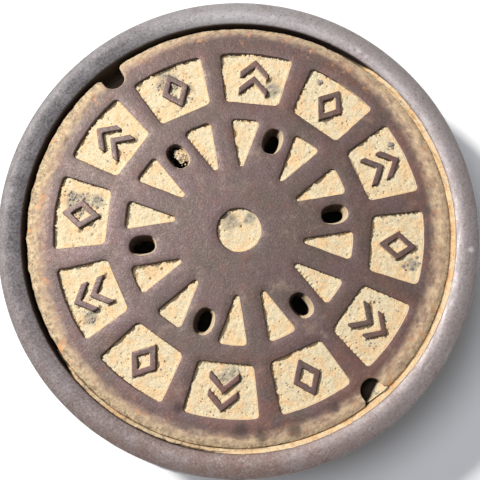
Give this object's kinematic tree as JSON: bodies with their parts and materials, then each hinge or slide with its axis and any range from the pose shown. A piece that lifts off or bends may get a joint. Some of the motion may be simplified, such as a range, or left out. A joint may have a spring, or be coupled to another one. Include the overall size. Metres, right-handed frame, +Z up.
{
  "type": "manhole cover and frame",
  "caption": "Round cast-iron manhole cover with silt-filled tread pockets, vents and pick notches, seated in its flanged street frame.",
  "frame": {"origin": "centre of the frame's base, on the surface that the flange rests on", "axes": "+Z up, square to the base and through the middle of the cover; the two pick notches lie on the Y axis"},
  "size_m": [0.82, 0.82, 0.203],
  "materials": {
    "cover_iron": "traffic-polished, mauve-brown",
    "frame_iron": "traffic-polished crown, rough raw casting below",
    "silt": "packed fine silt, dry and pitted",
    "sand": "packed damp sand and grit"
  },
  "bodies": {
    "frame": {"frame": "frame_iron", "gap_silt": "sand"},
    "bed": {"bed_silt": "sand"},
    "cover": {"cover": "cover_iron", "notch_silt": "silt", "vent_silt": "silt", "disc_silt": "silt", "panel_silt_1": "silt", "panel_silt_2": "silt", "panel_silt_3": "silt", "panel_silt_4": "silt", "panel_silt_5": "silt", "panel_silt_6": "silt", "panel_silt_7": "silt", "panel_silt_8": "silt", "panel_silt_9": "silt", "panel_silt_10": "silt", "panel_silt_11": "silt", "panel_silt_12": "silt", "wedge_silt_1": "silt", "wedge_silt_2": "silt", "wedge_silt_3": "silt", "wedge_silt_4": "silt", "wedge_silt_5": "silt", "wedge_silt_6": "silt", "wedge_silt_7": "silt", "wedge_silt_8": "silt", "wedge_silt_9": "silt", "wedge_silt_10": "silt", "wedge_silt_11": "silt", "wedge_silt_12": "silt"}
  },
  "joints": [
    {"name": "cover_turn", "type": "hinge", "parent": "frame", "child": "bed", "pos_m": [0, 0, 0.153], "axis": [0, 0, 1], "continuous": true},
    {"name": "cover_lift", "type": "slide", "parent": "bed", "child": "cover", "axis": [0, 0, 1], "range_m": [0, 0.15]}
  ]
}
